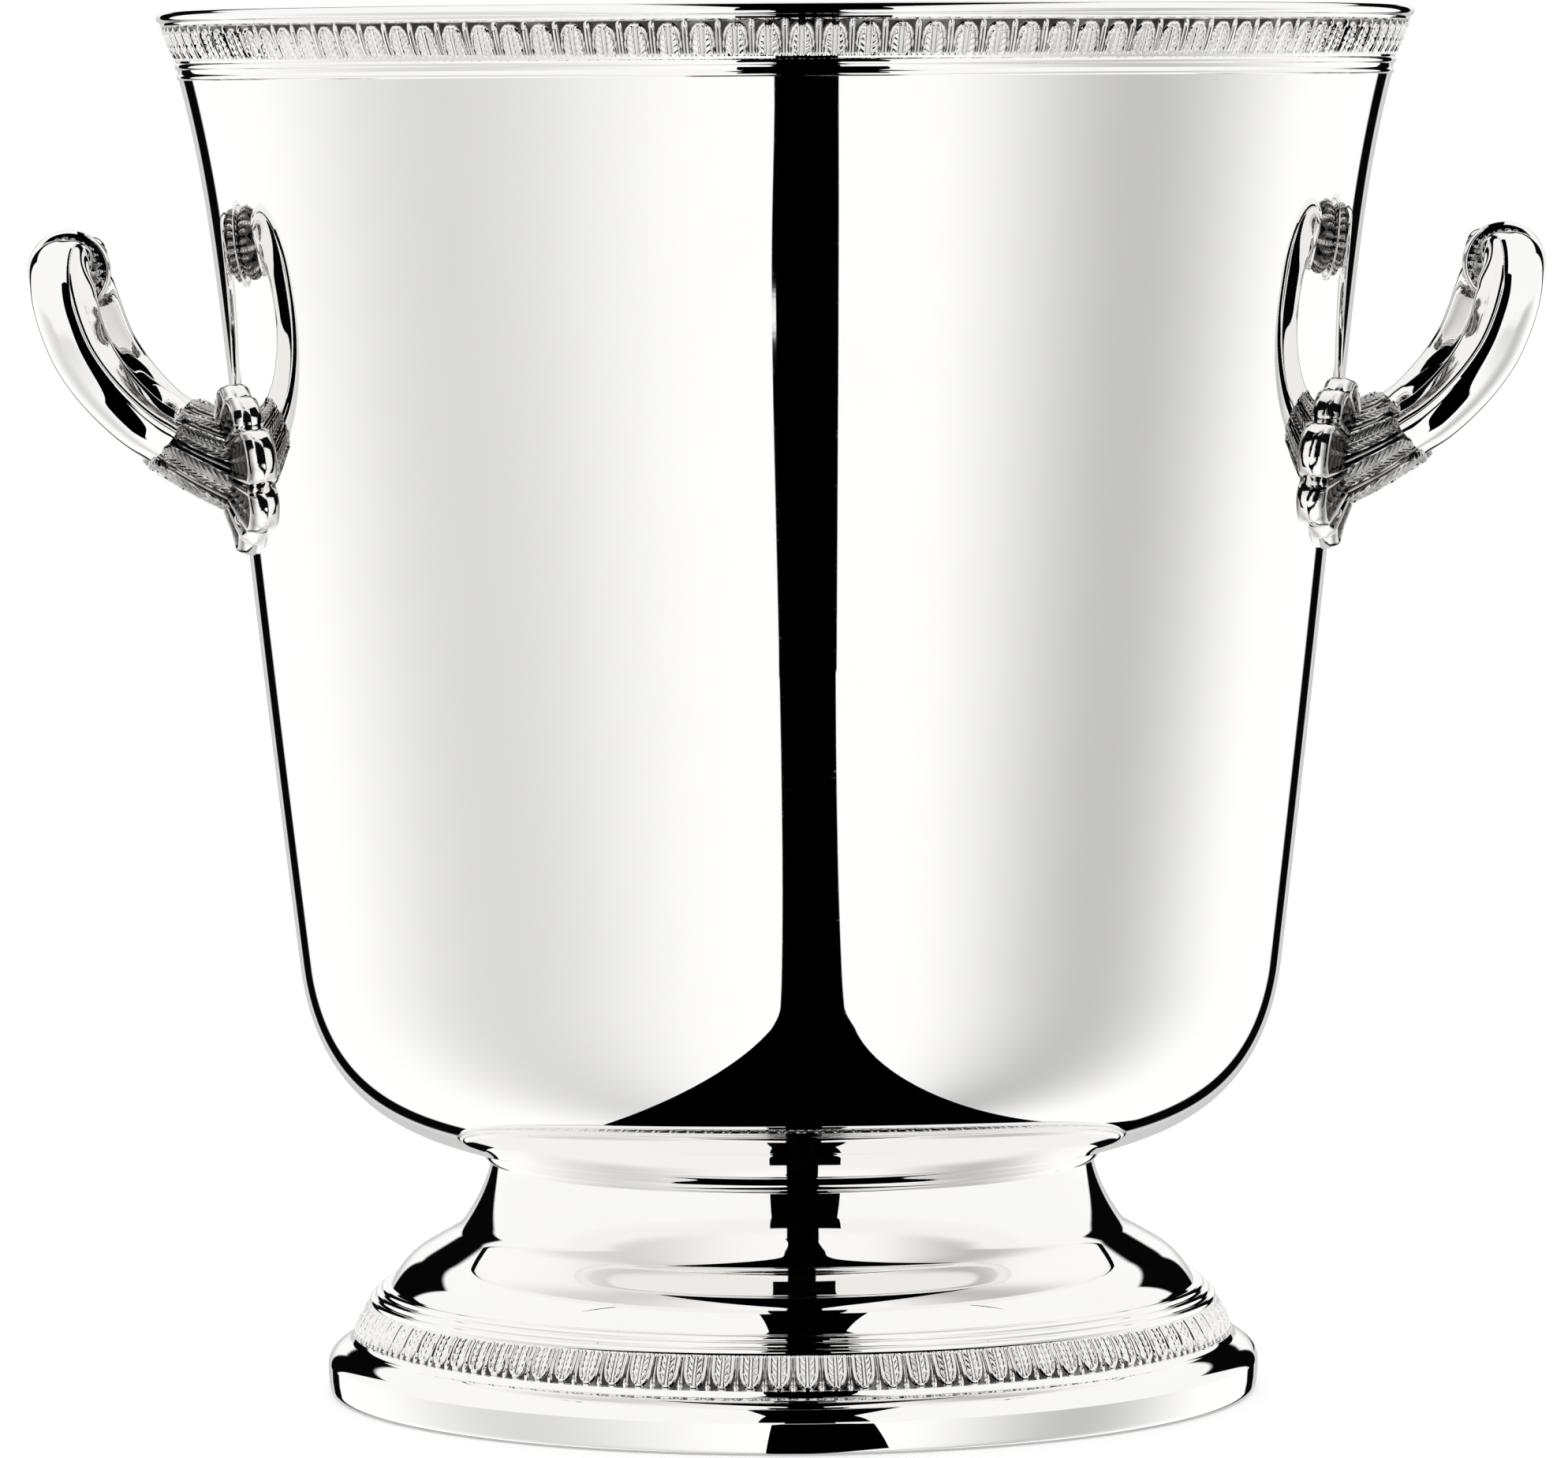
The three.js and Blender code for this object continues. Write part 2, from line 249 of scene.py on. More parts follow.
def polished_material(name, roughness, swirl):
    """Polished plate: a mirror with faint cloth marks from polishing and a slightly uneven sheen."""
    material = bpy.data.materials.new(name)
    material.use_nodes = True
    n = Nodes(material.node_tree)
    on_object = n.add("ShaderNodeTexCoord").outputs["Object"]
    cloud = n.add("ShaderNodeTexNoise", {"Vector": on_object, "Scale": 60.0, "Detail": 3.0})
    mark_space = n.add(
        "ShaderNodeMapping",
        {"Vector": on_object, "Scale": (900.0, 900.0, 5200.0), "Rotation": (0.12, 0.05, 0)},
    )
    marks = n.add("ShaderNodeTexNoise", {"Vector": mark_space.outputs[0], "Scale": 1.0, "Detail": 2.0})
    deepest_marks = n.step(marks.outputs["Fac"], MARKS_FROM, MARKS_TO)
    lowest = roughness - CLOUD_ROUGHNESS / 2
    rough = n.math("MULTIPLY_ADD", cloud.outputs["Fac"], CLOUD_ROUGHNESS, lowest)
    rough = n.math("MULTIPLY_ADD", deepest_marks, MARK_ROUGHNESS, rough)
    tint = n.add(
        "ShaderNodeMix",
        {"Factor": cloud.outputs["Fac"], "A": SILVER_WARM, "B": SILVER_COOL},
        data_type="RGBA",
    )
    bump = n.add("ShaderNodeBump", {"Height": marks.outputs["Fac"], "Strength": swirl, "Distance": 0.00002})
    shader = n.add(
        "ShaderNodeBsdfPrincipled",
        {
            "Base Color": tint.outputs["Result"],
            "Metallic": 1.0,
            "Roughness": rough,
            "Normal": bump.outputs[0],
        },
    )
    n.add("ShaderNodeOutputMaterial", {"Surface": shader.outputs[0]})
    return material


def cast_material(name, roughness, recess_shade, mid, middle):
    """Cast and chased silver: plain silver on the high edges, with painted shade in the recesses, which are
    also rougher.
    middle is where, from high edge to the bottom of a recess, the painted shade colour mid lies."""
    material = bpy.data.materials.new(name)
    material.use_nodes = True
    n = Nodes(material.node_tree)
    on_object = n.add("ShaderNodeTexCoord").outputs["Object"]
    recess = n.add("ShaderNodeAttribute", attribute_name="recess").outputs["Fac"]
    grain = n.add(
        "ShaderNodeTexNoise", {"Vector": on_object, "Scale": 1400.0, "Detail": 4.0, "Roughness": 0.6}
    )
    patch = n.add("ShaderNodeTexNoise", {"Vector": on_object, "Scale": 260.0, "Detail": 3.0})
    lowered = n.math("MULTIPLY_ADD", recess, 1.0, -PATCHINESS / 2)
    depth = n.math("MULTIPLY_ADD", patch.outputs["Fac"], PATCHINESS, lowered, clamp=True)
    # Painted shade: the colour darkens from plain silver towards the painted shade colours as the recess
    # deepens.
    tint = n.ramp(depth, [(0.0, SILVER), (middle, mid), (1, recess_shade)])
    rough = n.math("MULTIPLY_ADD", depth, RECESS_ROUGHNESS, roughness)
    bump = n.add("ShaderNodeBump", {"Height": grain.outputs["Fac"], "Strength": 0.18, "Distance": 0.00008})
    shader = n.add(
        "ShaderNodeBsdfPrincipled",
        {
            "Base Color": tint.outputs["Color"],
            "Metallic": 1.0,
            "Roughness": rough,
            "Normal": bump.outputs[0],
        },
    )
    n.add("ShaderNodeOutputMaterial", {"Surface": shader.outputs[0]})
    return material


polished = polished_material("silver_polished", roughness=0.016, swirl=0.006)
# Both cast materials paint shade into their recesses; the chased one, on the handle ornaments, is painted
# nearly black there.
cast = cast_material(
    "silver_cast_painted_shade", roughness=0.03, recess_shade=(0.05, 0.048, 0.045), mid=(0.9, 0.89, 0.875), middle=0.55
)
chased = cast_material(
    "silver_chased_painted_shade", roughness=0.06, recess_shade=(0.008, 0.008, 0.007), mid=(0.14, 0.136, 0.13), middle=0.42
)
handle_silver = polished_material("silver_handle", roughness=0.022, swirl=0.03)

# ---- profiles, [radius, height] in millimetres ----
WALL = 1.4
BAND_SHEET = 1.1
STEM_WALL = 1.3
SHOULDER = [83.73, 73.5]
BOWL_FOOT_OUTER = [52.6, 40.8]
BOWL_FOOT_INNER = [50.4, 39.4]
SEAT_BOTTOM = [102.66, 223.6]
SEAT_BACK = [102.0, 223.7]
BAND_BACK_LOW = [102.8, 226.8]
BAND_BACK_HIGH = [104.7, 233.0]
SHEET_TOP = [103.3, 233.4]
BAND_FACE_LOW = [103.25, 226.8]
BAND_FACE_HIGH = [105.8, 232.8]
STEM_TOP = [51.5, 39.3]
COVE_FOOT = [55.6, 29.9]
CREASE = [58.0, 27.3]
DRUM_TOP = [62.9, 24.5]
STEM_LEDGE = [68.7, 18.3]
FLANGE_MIDDLE = [71.3, 14.9]
FLANGE_END = [74.2, 9.4]
FLANGE_END_INSIDE = [73.0, 8.8]
REEDS_START = [69.3, 18.2]
REEDS_END = [72.3, 15.3]
FOOT_BAND_END = [75.2, 9.8]
BASE_SHOULDER = [75.9, 8.75]
BASE_WIDEST = [79.5, 5.2]
BASE_FOOT = [79.3, 1.2]

bowl_curve = bezier(BOWL_FOOT_OUTER, [57.2, 43.9], [80.3, 43.8], SHOULDER, 72)
wall_curve = bezier(SHOULDER, [96.6, 182], [95.9, 197], SEAT_BOTTOM, 90)
bottom_curve = bezier([0, 36.2], [30, 36.2], [44, 36.4], BOWL_FOOT_INNER, 24)
sheet_outside = join(bottom_curve, bowl_curve, wall_curve)
sheet_inside = offset(sheet_outside, WALL)
sheet_inside[0] = [0, sheet_outside[0, 1] + WALL]
body = lathe(
    "body_shell",
    join(
        sheet_outside,
        [SEAT_BACK, BAND_BACK_LOW, BAND_BACK_HIGH, SHEET_TOP],
        [[BAND_BACK_LOW[0] - BAND_SHEET, BAND_BACK_LOW[1]]],
        sheet_inside[::-1],
    ),
)
place(body, polished, "polished_silver", "body_shell")

LOWER_LINE_TOP = [102.9, 224.5]
UPPER_LINE_FOOT = [102.95, 225.35]
fillet = join(
    [SEAT_BACK, SEAT_BOTTOM],
    bezier([102.72, 223.65], [103.15, 223.75], [103.15, 224.3], LOWER_LINE_TOP, 6),
    bezier(LOWER_LINE_TOP, [102.85, 224.9], [102.9, 225.1], UPPER_LINE_FOOT, 5),
    bezier(UPPER_LINE_FOOT, [103.5, 225.4], [103.5, 226.3], [103.15, 226.45], 7),
    [BAND_FACE_LOW, BAND_BACK_LOW],
)
place(lathe("rim_fillet_ring", fillet), polished, "polished_silver", "rim_fillet_ring")

LIP_GROOVE = [105.9, 233.35]
LIP_TOP = [105.2, 235.2]
lip = join(
    [SHEET_TOP, BAND_BACK_HIGH, BAND_FACE_HIGH],
    bezier(BAND_FACE_HIGH, [105.75, 233.1], [105.75, 233.2], LIP_GROOVE, 4),
    bezier(LIP_GROOVE, [106.75, 233.5], [106.8, 235.15], LIP_TOP, 12),
    bezier(LIP_TOP, [104.2, 235.2], [103.4, 235.0], [103.2, 234.4], 8),
)
place(lathe("rim_lip", lip), polished, "polished_silver", "rim_lip")

joint_ring = join(
    [BOWL_FOOT_INNER, [BOWL_FOOT_INNER[0], STEM_TOP[1]], STEM_TOP],
    bezier([51.6, 39.35], [52.35, 39.5], [52.6, 40.1], [52.62, 40.6], 8),
    [BOWL_FOOT_OUTER],
)
place(lathe("foot_joint_ring", joint_ring), polished, "polished_silver", "foot_joint_ring")

stem_outside = join(
    bezier(STEM_TOP, [52.15, 36.0], [53.6, 32.9], COVE_FOOT, 28),
    bezier(COVE_FOOT, [56.3, 28.85], [56.9, 27.93], CREASE, 12),
    bezier(CREASE, [59.7, 26.3], [61.5, 25.3], DRUM_TOP, 14),
    bezier(DRUM_TOP, [65.28, 23.15], [66.94, 21.5], STEM_LEDGE, 24),
    [FLANGE_MIDDLE, FLANGE_END],
)
stem_inside = offset(stem_outside, -STEM_WALL)
stem_inside[0] = [BOWL_FOOT_INNER[0], STEM_TOP[1]]
stem_inside[-1] = FLANGE_END_INSIDE
stem = lathe("foot_stem", join(stem_outside, stem_inside[::-1]))
place(stem, polished, "polished_silver", "foot_stem")

REED_COUNT = 3
REED_HEIGHT = 0.55
REED_GAP = 0.06  # as a share of one reed
REED_POINTS = 9
REED_ROUNDNESS = 0.7  # 1 is a sine wave, less is fuller


def reeds():
    """Three reeds side by side, below a small fillet."""
    start, end = np.array(REEDS_START), np.array(REEDS_END)
    along = (end - start) / REED_COUNT
    out = np.array([-along[1], along[0]])
    out /= np.linalg.norm(out)
    points = [np.array(STEM_LEDGE), start]
    for reed in range(REED_COUNT):
        for share in np.linspace(REED_GAP, 1 - REED_GAP, REED_POINTS):
            height = REED_HEIGHT * math.sin(math.pi * share) ** REED_ROUNDNESS
            points.append(start + along * (reed + share) + out * height)
    return np.array(points + [end, np.array(FLANGE_MIDDLE)])


place(lathe("foot_reed_ring", reeds()), polished, "polished_silver", "foot_reed_ring")

base = join(
    [FLANGE_END, FOOT_BAND_END],
    bezier(FOOT_BAND_END, [75.45, 9.2], [75.6, 8.9], BASE_SHOULDER, 5),
    bezier(BASE_SHOULDER, [77.4, 8.2], [79.2, 7.0], BASE_WIDEST, 22),
    [[79.5, 5.0], [79.48, 3.0], BASE_FOOT],
    bezier(BASE_FOOT, [79.25, 0.5], [78.9, 0.05], [78.3, 0.0], 6),
    [[76.4, 0.0], [77.4, 1.4], [77.9, 4.0], [76.6, 6.3], [74.1, 8.0], FLANGE_END_INSIDE],
)
place(lathe("foot_base", base), polished, "polished_silver", "foot_base")


# ---- palmette borders ----
RIM_UNITS = 124
FOOT_UNITS = 100
BORDER_VEINS = 5.5
BORDER_EDGE_RELIEF = 0.9  # the relief of the plain line along each edge, which lies on the turned face


def leaf_and_dart(u, v, pointed):
    """Relief of one unit, 0 to 1. u runs -0.5 to 0.5 across it, v from 0 at the bottom to 1 at the top.
    A pointed leaf hangs with its tip down inside a U-shaped frame; the other stands up under a round arch.
    All sizes are shares of the unit's width (u) or height (v)."""
    across = np.abs(u)
    away = 0.5 - across
    if pointed:
        fill = np.clip((v - 0.1) / 0.62, 0, 1)
        width = 0.27 * np.sqrt(np.clip(1 - (1 - fill) ** 2.2, 0, 1))
        inside = smooth(0.06, 0.12, v)
        surround = ridge(across, width + 0.075, 0.075) * smooth(0.0, 0.06, v)
        surround = np.maximum(surround, ridge(v, 0.06, 0.07) * smooth(0.18, 0.08, across))
        stalk_at = 0.03 + 0.06 * np.clip(1 - v / 0.4, 0, 1) ** 2
        knob_v, knob_u, knob_h = 0.06, 0.1, 0.075
        slant = 6.5
    else:
        fill = np.clip((0.84 - v) / 0.84, 0, 1)
        width = 0.325 * np.sqrt(np.clip(1 - (1 - fill) ** 2.6, 0, 1))
        inside = smooth(0.84, 0.78, v)
        surround = ridge(across, width + 0.04, 0.03) * smooth(0.9, 0.84, v)
        from_arch_centre = np.hypot(across / 0.33, np.maximum(v - 0.5, 0) / 0.38)
        arch = ridge(from_arch_centre, 1.0, 0.09) * smooth(0.45, 0.6, v)
        surround = np.maximum(surround, arch)
        stalk_at = 0.055 + 0 * v
        knob_v, knob_u, knob_h = 0.88, 0.085, 0.1
        slant = 4.0
    side = across / np.maximum(width, 1e-3)
    leaf = smooth(1.0, 0.88, side) * inside
    veins = 0.5 + 0.5 * np.cos(TAU * (v * BORDER_VEINS - across * slant))
    height = leaf * (0.5 + 0.45 * (veins - 0.5) * smooth(0.05, 0.09, across) + 0.15 * (1 - side**2))
    height = height * (1 - 0.9 * ridge(across, 0.055, 0.022) * leaf)
    height = np.maximum(height, 0.85 * ridge(u, 0, 0.034) * inside)
    stalk = ridge(away, stalk_at, 0.034)
    knob = np.sqrt(np.clip(1 - (away / knob_u) ** 2 - ((v - knob_v) / knob_h) ** 2, 0, 1))
    stalk_end = smooth(0.03, 0.1, v) if pointed else smooth(0.95, 0.88, v)
    return np.clip(np.maximum.reduce([height, 0.9 * surround, 0.8 * stalk * stalk_end, 0.95 * knob]), 0, 1)


def border(name, face, back, units, per_unit, rows, depth, pointed, edge):
    """A cast border: the relief of many units on a turned face, closed by a plain back.
    edge is the width of the plain line along each edge, as a share of the border's height."""
    columns = units * per_unit
    angle = np.arange(columns) / columns * TAU
    share = np.linspace(0, 1, rows)
    lengths = np.concatenate([[0], np.cumsum(np.linalg.norm(np.diff(face, axis=0), axis=1))])
    lengths /= lengths[-1]
    base_line = np.stack([np.interp(share, lengths, face[:, k]) for k in (0, 1)], 1)
    along = np.gradient(base_line, axis=0)
    along /= np.linalg.norm(along, axis=1)[:, None]
    out = np.stack([along[:, 1], -along[:, 0]], 1) * (1 if along[:, 1].mean() > 0 else -1)
    u = ((np.arange(columns) % per_unit) / per_unit - 0.5)[None, :]
    v = (share if base_line[-1, 1] > base_line[0, 1] else 1 - share)[:, None]
    inner = (v - edge) / (1 - 2 * edge)
    relief = leaf_and_dart(u + 0 * inner, np.clip(inner, 0, 1) + 0 * u, pointed)
    line_outside, line_inside = edge * 0.5, edge * 1.1
    low_line = smooth(line_inside, line_outside, v)
    high_line = smooth(1 - line_inside, 1 - line_outside, v)
    relief = np.maximum(relief, np.maximum(low_line, high_line) * BORDER_EDGE_RELIEF)
    relief[0] = relief[-1] = BORDER_EDGE_RELIEF
    height = (relief - BORDER_EDGE_RELIEF) * depth
    profile = base_line[:, None, :] + out[:, None, :] * height[:, :, None]
    full = np.concatenate([profile, np.repeat(np.array(back, float)[:, None, :], columns, 1)])
    grid = np.stack([full[..., 0] * np.cos(angle), full[..., 0] * np.sin(angle), full[..., 1]], 2)
    recess = np.concatenate([1 - relief, np.zeros((len(back), columns))])
    return skin(name, grid, wrap=True, sharp=70, recess=recess)


rim_face = bezier(BAND_FACE_LOW, [104.2, 228.0], [105.4, 231.2], BAND_FACE_HIGH, 24)
rim_border = border(
    "rim_palmette_band",
    rim_face,
    [BAND_BACK_HIGH, BAND_BACK_LOW],
    units=RIM_UNITS,
    per_unit=30,
    rows=24,
    depth=0.42,
    pointed=False,
    edge=0.05,
)
place(rim_border, cast, "cast_silver", "rim_palmette_band")

foot_face = bezier(REEDS_END, [73.6, 13.8], [74.8, 11.6], FOOT_BAND_END, 24)
foot_border = border(
    "foot_palmette_band",
    foot_face,
    [FLANGE_END, FLANGE_MIDDLE],
    units=FOOT_UNITS,
    per_unit=34,
    rows=27,
    depth=0.5,
    pointed=True,
    edge=0.03,
)
place(foot_border, cast, "cast_silver", "foot_palmette_band")

# ---- handles, for the right side and the front arm; the others are mirrored ----
HANDLE_CENTRE = np.array([112.0, 0.0, 178.0])
GRIP = np.array([121.9, 0.0, 191.4])
ARM_POINTS = [
    [104.6, 24.8, 164.2], [107.8, 26.2, 166.4], [111.5, 27.4, 169.8], [114.8, 27.9, 173.6],
    [117.6, 27.5, 177.8], [119.6, 26.4, 182.4], [120.9, 24.9, 186.7], [121.5, 22.1, 190.2],
    [121.8, 19.0, 191.7], [121.9, 15.9, 191.4],
]
ARM_RADIUS_LOW = 4.7
ARM_SWELL = 0.6
ARM_FLAT_DEPTH = 0.9  # the flat face, as a share of the radius
ARM_SQUARENESS = 4.5
FLAT_FACES = np.array([100.0, -35.5, 190.0])  # the point that the flat face of an arm turns to


def spline(points, steps):
    """A smooth curve through points, evenly spaced (a centripetal Catmull-Rom curve)."""
    points = np.array(points, float)
    padded = np.vstack([2 * points[0] - points[1], points, 2 * points[-1] - points[-2]])
    fine = []
    for k in range(len(points) - 1):
        p = padded[k : k + 4]
        knots = np.concatenate([[0], np.cumsum(np.linalg.norm(np.diff(p, axis=0), axis=1) ** 0.5)])
        t = np.linspace(knots[1], knots[2], 40, endpoint=False)[:, None]

        def between(first, last, start, end):
            """From first at knot start to last at knot end."""
            length = knots[end] - knots[start]
            return (knots[end] - t) / length * first + (t - knots[start]) / length * last

        a = [between(p[m], p[m + 1], m, m + 1) for m in range(3)]
        b = [between(a[m], a[m + 1], m, m + 2) for m in range(2)]
        fine.append(between(b[0], b[1], 1, 2))
    fine = np.vstack(fine + [points[-1:]])
    lengths = np.concatenate([[0], np.cumsum(np.linalg.norm(np.diff(fine, axis=0), axis=1))])
    even = np.linspace(0, lengths[-1], steps + 1)
    return np.stack([np.interp(even, lengths, fine[:, k]) for k in range(3)], 1)


def sweep(name, path, radius, sides, hub=HANDLE_CENTRE, recess=None, sharp=50.0):
    """A bar along a path. radius(share, angle) gives its section, and angle 0 faces the hub."""
    tangent = np.gradient(path, axis=0)
    tangent /= np.linalg.norm(tangent, axis=1)[:, None]
    inward = hub - path
    inward -= np.einsum("ij,ij->i", inward, tangent)[:, None] * tangent
    inward /= np.linalg.norm(inward, axis=1)[:, None]
    across = np.cross(inward, tangent)
    share = np.linspace(0, 1, len(path))[:, None]
    angle = (np.arange(sides) / sides * TAU)[None, :]
    size = radius(share, angle)
    grid = (
        path[:, None, :]
        + (size * np.cos(angle))[..., None] * inward[:, None, :]
        + (size * np.sin(angle))[..., None] * across[:, None, :]
    )
    depth = None if recess is None else recess(share + 0 * angle, angle + 0 * share)
    return skin(name, grid, sharp=sharp, recess=depth)


def wrapped(angle):
    """Angle as -pi to pi."""
    return (angle + math.pi) % TAU - math.pi


def arm_radius(share, angle):
    """Round outside; the inner half is squared off to a flat face with a firm edge."""
    swell = ARM_RADIUS_LOW + ARM_SWELL * smooth(0.1, 0.95, share)
    facing = np.maximum(np.cos(angle), 0)
    squared = (facing / ARM_FLAT_DEPTH) ** ARM_SQUARENESS + np.abs(np.sin(angle)) ** ARM_SQUARENESS
    return swell * np.where(facing > 0, squared ** (-1 / ARM_SQUARENESS), 1.0)


LEAVES = 8
CALYX_RADIUS_ROOT = 7.4
CALYX_TAPER = 2.0
CALYX_RELIEF_DEPTH = 1.0
CALYX_ROOT = np.array([92.5, -19.6, 158.4])
CALYX_BEND = 5
CALYX_PAST_ARM_START = 0.4
CALYX_TIP_STEP = 0.9
CALYX_END_RADIUS = 4.9
# How much of the recess depth the handle ornaments pass on to the chased material, as painted shade and
# roughness.
RECESS_SHADE_SHARE = 0.9


def calyx_relief(share, angle):
    """Relief of the leaves round an arm's root: broad veined leaves with narrow tongues between."""
    turn = wrapped(angle * LEAVES) / TAU
    side = np.abs(turn)
    leaf_half = 0.25 + 0.1 * np.sin(math.pi * np.clip(share * 0.9, 0, 1))
    within = smooth(leaf_half, leaf_half - 0.05, side)
    veins = 0.5 + 0.5 * np.cos(TAU * (share * 13 - side * 6))
    height = within * (0.45 + 0.2 * veins * smooth(0.03, 0.1, side) + 0.25 * (1 - (side / leaf_half) ** 2))
    height = np.maximum(height, 0.8 * ridge(turn, 0, 0.035))
    edge = ridge(side, leaf_half, 0.06)
    tongue = ridge(side, 0.5, 0.11 - 0.03 * share)
    return np.clip(np.maximum.reduce([height, edge, 0.8 * tongue]), 0, 1)


def calyx_radius(share, angle):
    taper = CALYX_RADIUS_ROOT - CALYX_TAPER * share
    turn = np.abs(wrapped(angle * LEAVES)) / TAU
    tip = 0.97 - 0.2 * (turn / 0.5) ** 2
    beyond = smooth(tip, tip + 0.02, share)
    lifted_tip = 0.3 * smooth(tip - 0.14, tip, share)
    leafy = taper - CALYX_RELIEF_DEPTH * (1 - calyx_relief(share, angle)) + lifted_tip
    under_tips = np.minimum(taper - CALYX_TIP_STEP, CALYX_END_RADIUS)
    return leafy * (1 - beyond) + under_tips * beyond


def calyx_recess(share, angle):
    return (1 - calyx_relief(share, angle)) * RECESS_SHADE_SHARE


def wall_radius(height):
    return np.interp(height, wall_curve[:, 1], wall_curve[:, 0])


BOTTOM_LEAF = -90
# The leaves round a plate: direction in degrees, length in millimetres, half width in degrees.
PLATE_LOBES = [
    [90, 13.4, 26], [51, 13.6, 21], [8, 15.8, 23], [-33, 16.0, 20], [BOTTOM_LEAF, 14.8, 26],
    [-147, 16.0, 20], [-188, 15.8, 23], [-231, 13.6, 21],
]
LOBE_REACH = 1.6  # how far a lobe goes on past its half width, under its neighbours
PLATE_Z = 159.0
PLATE_AZIMUTH = math.radians(12)
PLATE_EDGE_HEIGHTS = (1.75, 1.3, -0.6)  # over the wall; the last row goes into it
EDGE_ROWS = len(PLATE_EDGE_HEIGHTS)
PLATE_EDGE_BULGE = 0.25


def plate_shape(angle):
    """Outline radius, and the place across the nearest lobe from -1 to 1, by angle."""
    reach = np.zeros_like(angle)
    lateral = np.zeros_like(angle)
    best = np.full_like(angle, 9.0)
    for degrees, length, half in PLATE_LOBES:
        away = wrapped(angle - math.radians(degrees)) / math.radians(half)
        roundness = 1.5 if degrees == BOTTOM_LEAF else 2.6
        r = length * (1 - 0.2 * np.clip(np.abs(away), 0, LOBE_REACH) ** roundness)
        nearer = np.abs(away) < best
        best = np.where(nearer, np.abs(away), best)
        lateral = np.where(nearer, away, lateral)
        reach = np.maximum(reach, r * (np.abs(away) < LOBE_REACH))
    return reach, lateral


def palmette_plate(name):
    """A domed, lobed plate, drawn flat and then bent round the wall."""
    sides, rings = 480, 56
    angle = (np.arange(sides) / sides * TAU)[None, :]
    outline, lateral = plate_shape(angle)
    rho = np.concatenate([np.linspace(0.12, 0.985, rings), np.ones(EDGE_ROWS)])[:, None]
    edge_gap = (1 - rho) * outline
    dome = 2.3 + 2.2 * (1 - np.clip(rho, 0, 1) ** 2)
    rim = ridge(edge_gap, 0.75, 0.75)
    valley = smooth(0.75, 1.0, np.abs(lateral)) * smooth(0.35, 0.6, rho)
    inner_rim = ridge(np.abs(lateral), 0.78, 0.2) * smooth(0.3, 0.5, rho)
    inside = smooth(0.62, 0.5, np.abs(lateral)) * smooth(1.3, 1.9, edge_gap)
    veins = 0.5 + 0.5 * np.cos(TAU * (edge_gap * 0.62 + np.abs(lateral) * 1.9))
    mid = ridge(lateral, 0, 0.12)
    from_knob = ((np.abs(lateral) - 1.04) / 0.16) ** 2 + ((edge_gap - 1.7) / 0.9) ** 2
    knob = np.sqrt(np.clip(1 - from_knob, 0, 1))
    relief = 0.35 + 0.55 * np.maximum(rim, inner_rim) - 0.35 * valley
    relief = relief * (1 - inside) + inside * (0.08 + 0.3 * veins + 0.35 * mid)
    relief = np.maximum(relief, knob)
    relief = np.clip(relief, 0, 1) * np.ones_like(angle)
    height = dome + 1.5 * (relief - 0.6) * smooth(0.1, 0.3, rho)
    height[-EDGE_ROWS:] = np.array(PLATE_EDGE_HEIGHTS)[:, None]
    grow = np.zeros_like(height)
    grow[-2:] = PLATE_EDGE_BULGE
    across = (rho * outline + grow) * np.cos(angle)
    z = PLATE_Z + (rho * outline + grow) * np.sin(angle)
    wall = wall_radius(z)
    around = -PLATE_AZIMUTH + across / wall
    radius = wall + height
    grid = np.stack([radius * np.cos(around), radius * np.sin(around), z], 2)
    recess = np.clip(1 - relief, 0, 1)
    recess[-EDGE_ROWS:] = 0
    return skin(name, grid, sharp=60, recess=recess)


COLLAR_START = 1.2
COLLAR_LENGTH = 14.6
COLLAR_RADIUS = 4.6
COLLAR_FLARE = 1.1
COLLAR_INSIDE = 4.1
GRIP_BAR_HALF = 15
GRIP_BAR_RADIUS = 4.0
DISC_BORE = 4.3
DISC_RADIUS = 6.2
DISC_FACE_RADIUS = 6.3
DISC_HALF = 0.9


def leaf_collar_grid():
    """Three-lobed leaves round the grip, from the disc to the arm's bend."""
    sides, rings = 256, 72
    share = np.linspace(0, 1, rings)[:, None]
    angle = (np.arange(sides) / sides * TAU)[None, :]
    turn = np.abs(wrapped(angle * LEAVES)) / TAU
    tip = 1.0 - 0.3 * (turn / 0.5) ** 1.5
    lobes = ridge(turn, 0, 0.16) * 0.9 + ridge(turn, 0.3, 0.13) * smooth(0.75, 0.55, share) * 0.8
    veins = 0.5 + 0.5 * np.cos(TAU * (share * 6 - turn * 4))
    relief = np.clip(0.15 + 0.65 * lobes + 0.2 * veins * lobes, 0, 1)
    flare = COLLAR_RADIUS + COLLAR_FLARE * np.sin(math.pi * np.clip(share * 1.05, 0, 1)) ** 0.8
    beyond = smooth(tip - 0.02, tip, share)
    size = (flare + 0.7 * relief - 0.3) * (1 - beyond) + COLLAR_INSIDE * beyond
    return share, angle, size, np.clip(1 - relief, 0, 1) * RECESS_SHADE_SHARE


